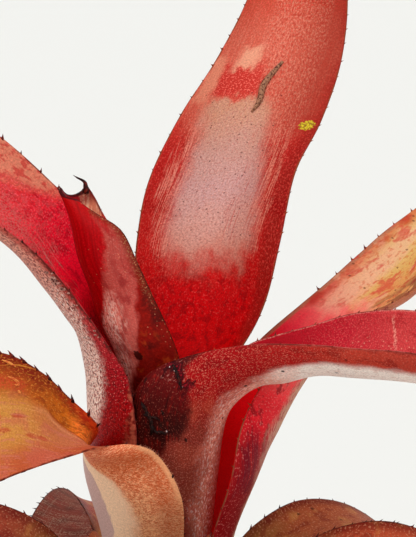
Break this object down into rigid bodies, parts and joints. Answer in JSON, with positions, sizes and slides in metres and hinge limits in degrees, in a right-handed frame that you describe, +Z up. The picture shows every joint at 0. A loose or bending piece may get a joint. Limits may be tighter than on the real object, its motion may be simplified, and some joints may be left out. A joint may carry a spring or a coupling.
{
  "type": "potted neoregelia bromeliad",
  "caption": "Red neoregelia bromeliad with spiny-edged strap leaves clasped round a central tank, standing in a plain clay pot.",
  "frame": {"origin": "centre of the pot's flat underside", "axes": "+Z up along the pot's axis; -Y is the plant's front, from which the tall leaf stands behind the heart; +X is its right"},
  "size_m": [0.3292, 0.286, 0.3462],
  "materials": {
    "clay": "matte",
    "potting_mix": "matte",
    "stem": "matte",
    "leaf_red": "satin",
    "leaf_dark_red": "satin",
    "leaf_orange": "satin",
    "leaf_bronze": "satin"
  },
  "bodies": {
    "root": {"pot": "clay", "potting_mix": "potting_mix", "stem": "stem", "leaf_back_tall": "leaf_red", "leaf_heart": "leaf_dark_red", "leaf_left": "leaf_red", "leaf_right_front": "leaf_red", "leaf_right_back": "leaf_orange", "leaf_left_front": "leaf_orange", "leaf_outer_back": "leaf_bronze", "leaf_outer_right": "leaf_bronze", "leaf_outer_front": "leaf_bronze", "leaf_outer_left": "leaf_bronze", "leaf_outer_side": "leaf_bronze"}
  },
  "joints": []
}
